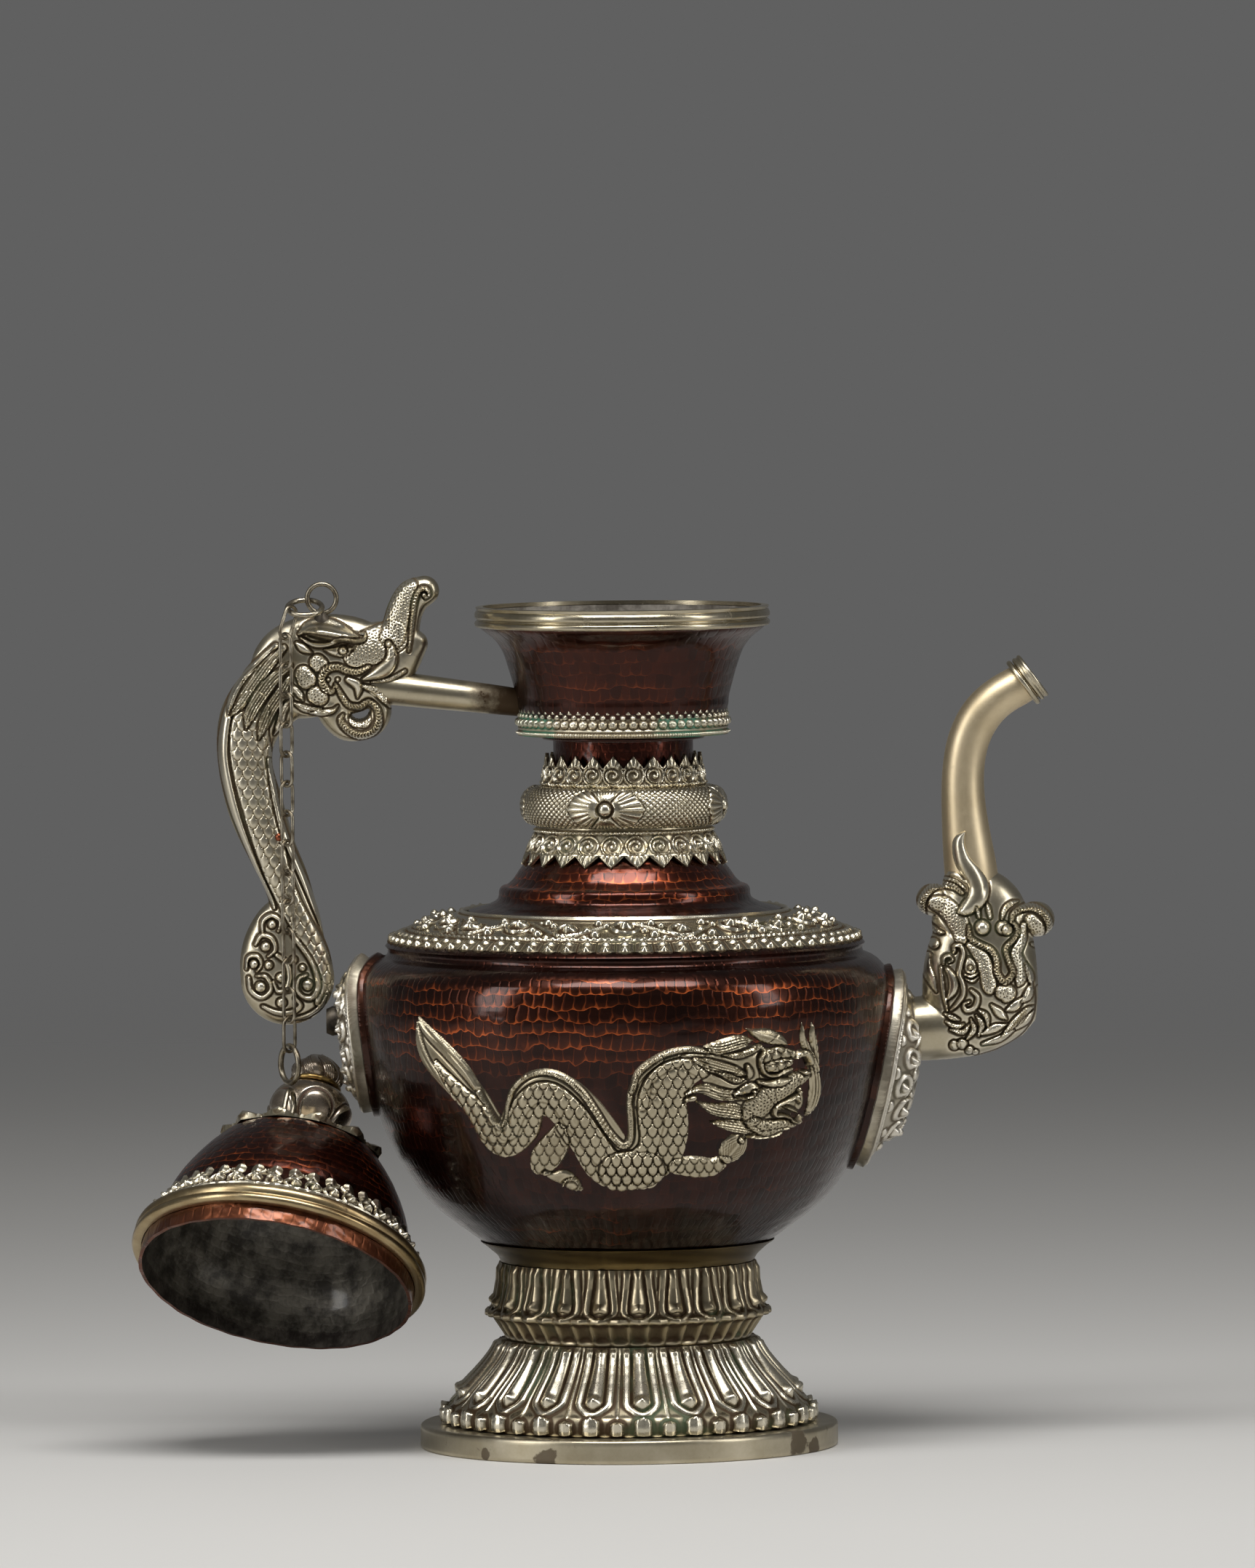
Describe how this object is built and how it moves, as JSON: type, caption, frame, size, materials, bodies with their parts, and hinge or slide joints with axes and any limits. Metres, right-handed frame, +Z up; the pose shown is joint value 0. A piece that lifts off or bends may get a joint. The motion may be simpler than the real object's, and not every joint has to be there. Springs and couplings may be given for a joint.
{
  "type": "lidded ewer",
  "caption": "Lidded ewer with a round body, lotus foot, flared mouth, makara handle and spout, and a domed lid that hangs on a chain from the handle.",
  "frame": {"origin": "on the surface it stands on, under the middle of its overall box", "axes": "+Z up the ewer's own axis, +X towards the spout, -Y towards the broad side that the picture shows"},
  "size_m": [0.3294, 0.193, 0.3121],
  "materials": {
    "copper": "hammered copper under a dark glossy patina",
    "white_metal": "chased and worn, dark in the recesses",
    "brass": "hammered, worn bright",
    "wire": "dull drawn wire"
  },
  "bodies": {
    "ewer": {"base_ring": "white_metal", "foot_lotus_lower": "white_metal", "foot_lotus_upper": "white_metal", "foot_collar": "white_metal", "vessel_base": "copper", "vessel_body": "copper", "shoulder_plate": "copper", "shoulder_ornament": "white_metal", "neck_cone": "copper", "neck_collar_lower": "white_metal", "neck_knop": "white_metal", "neck_collar_upper": "white_metal", "neck_flange": "copper", "mouth_cup": "copper", "bead_band": "white_metal", "rim_ring": "white_metal", "spout_back_plate": "copper", "spout_medallion": "white_metal", "handle_back_plate": "copper", "handle_medallion": "white_metal", "spout_pipe": "white_metal", "spout_head": "white_metal", "spout_tip_cap": "white_metal", "spout_tip_ring": "white_metal", "handle_grip": "white_metal", "handle_rivet": "copper", "handle_eye": "wire", "handle_head": "white_metal", "handle_strut": "white_metal", "handle_stub": "white_metal", "dragon_front": "white_metal", "dragon_back": "white_metal"},
    "top_ring": {"top_ring": "wire"},
    "chain_link_01": {"chain_link_01": "wire"},
    "chain_link_02": {"chain_link_02": "wire"},
    "chain_link_03": {"chain_link_03": "wire"},
    "chain_link_04": {"chain_link_04": "wire"},
    "chain_link_05": {"chain_link_05": "wire"},
    "chain_link_06": {"chain_link_06": "wire"},
    "chain_link_07": {"chain_link_07": "wire"},
    "chain_link_08": {"chain_link_08": "wire"},
    "chain_link_09": {"chain_link_09": "wire"},
    "chain_link_10": {"chain_link_10": "wire"},
    "chain_link_11": {"chain_link_11": "wire"},
    "chain_link_12": {"chain_link_12": "wire"},
    "chain_link_13": {"chain_link_13": "wire"},
    "chain_link_14": {"chain_link_14": "wire"},
    "chain_link_15": {"chain_link_15": "wire"},
    "lid_ring": {"lid_ring": "wire"},
    "lid": {"lid_shell": "copper", "lid_rim_ring": "white_metal", "lid_scroll_band": "white_metal", "lid_leaf_plate": "white_metal", "lid_knob": "white_metal", "lid_knob_ring": "brass", "lid_bud": "white_metal", "lid_staple": "wire"}
  },
  "joints": [
    {"name": "top_ring_swing", "type": "hinge", "parent": "ewer", "child": "top_ring", "pos_m": [-0.09661, -0.0029, 0.3028], "axis": [0, 1, 0], "range_deg": [-0.2, 30]},
    {"name": "chain_link_01_swing", "type": "hinge", "parent": "top_ring", "child": "chain_link_01", "pos_m": [-0.10599, -0.00954, 0.29973], "axis": [-0.7071, 0.7071, 0], "range_deg": [-0.5, 20]},
    {"name": "chain_link_02_swing", "type": "hinge", "parent": "chain_link_01", "child": "chain_link_02", "pos_m": [-0.10806, -0.01161, 0.29226], "axis": [0.7071, -0.7071, 0], "range_deg": [-20, 0.5]},
    {"name": "chain_link_03_swing", "type": "hinge", "parent": "chain_link_02", "child": "chain_link_03", "pos_m": [-0.10806, -0.01161, 0.28011], "axis": [-0.7071, 0.7071, 0], "range_deg": [-0.5, 20]},
    {"name": "chain_link_04_swing", "type": "hinge", "parent": "chain_link_03", "child": "chain_link_04", "pos_m": [-0.10806, -0.01161, 0.27116], "axis": [0.7071, -0.7071, 0], "range_deg": [-20, 0.5]},
    {"name": "chain_link_05_swing", "type": "hinge", "parent": "chain_link_04", "child": "chain_link_05", "pos_m": [-0.10806, -0.01161, 0.25901], "axis": [-0.7071, 0.7071, 0], "range_deg": [-0.5, 20]},
    {"name": "chain_link_06_swing", "type": "hinge", "parent": "chain_link_05", "child": "chain_link_06", "pos_m": [-0.10806, -0.01161, 0.25006], "axis": [0.7071, -0.7071, 0], "range_deg": [-20, 0.5]},
    {"name": "chain_link_07_swing", "type": "hinge", "parent": "chain_link_06", "child": "chain_link_07", "pos_m": [-0.10806, -0.01161, 0.23791], "axis": [-0.7071, 0.7071, 0], "range_deg": [-0.5, 20]},
    {"name": "chain_link_08_swing", "type": "hinge", "parent": "chain_link_07", "child": "chain_link_08", "pos_m": [-0.10806, -0.01161, 0.22896], "axis": [0.7071, -0.7071, 0], "range_deg": [-20, 0.5]},
    {"name": "chain_link_09_swing", "type": "hinge", "parent": "chain_link_08", "child": "chain_link_09", "pos_m": [-0.10806, -0.01161, 0.21681], "axis": [-0.7071, 0.7071, 0], "range_deg": [-0.5, 20]},
    {"name": "chain_link_10_swing", "type": "hinge", "parent": "chain_link_09", "child": "chain_link_10", "pos_m": [-0.10806, -0.01161, 0.20786], "axis": [0.7071, -0.7071, 0], "range_deg": [-20, 0.5]},
    {"name": "chain_link_11_swing", "type": "hinge", "parent": "chain_link_10", "child": "chain_link_11", "pos_m": [-0.10806, -0.01161, 0.19571], "axis": [-0.7071, 0.7071, 0], "range_deg": [-0.5, 20]},
    {"name": "chain_link_12_swing", "type": "hinge", "parent": "chain_link_11", "child": "chain_link_12", "pos_m": [-0.10806, -0.01161, 0.18676], "axis": [0.7071, -0.7071, 0], "range_deg": [-20, 0.5]},
    {"name": "chain_link_13_swing", "type": "hinge", "parent": "chain_link_12", "child": "chain_link_13", "pos_m": [-0.10806, -0.01161, 0.17461], "axis": [-0.7071, 0.7071, 0], "range_deg": [-0.5, 20]},
    {"name": "chain_link_14_swing", "type": "hinge", "parent": "chain_link_13", "child": "chain_link_14", "pos_m": [-0.10806, -0.01161, 0.16566], "axis": [0.7071, -0.7071, 0], "range_deg": [-20, 0.5]},
    {"name": "chain_link_15_swing", "type": "hinge", "parent": "chain_link_14", "child": "chain_link_15", "pos_m": [-0.10806, -0.01161, 0.15351], "axis": [-0.7071, 0.7071, 0], "range_deg": [-0.5, 20]},
    {"name": "lid_ring_swing", "type": "hinge", "parent": "chain_link_15", "child": "lid_ring", "pos_m": [-0.10806, -0.01161, 0.14496], "axis": [0.7071, -0.7071, 0], "range_deg": [-20, 0.5]},
    {"name": "lid_swing", "type": "hinge", "parent": "lid_ring", "child": "lid", "pos_m": [-0.10806, -0.01161, 0.13176], "axis": [-0.5, 0.866, 0], "range_deg": [-2, 30]}
  ]
}
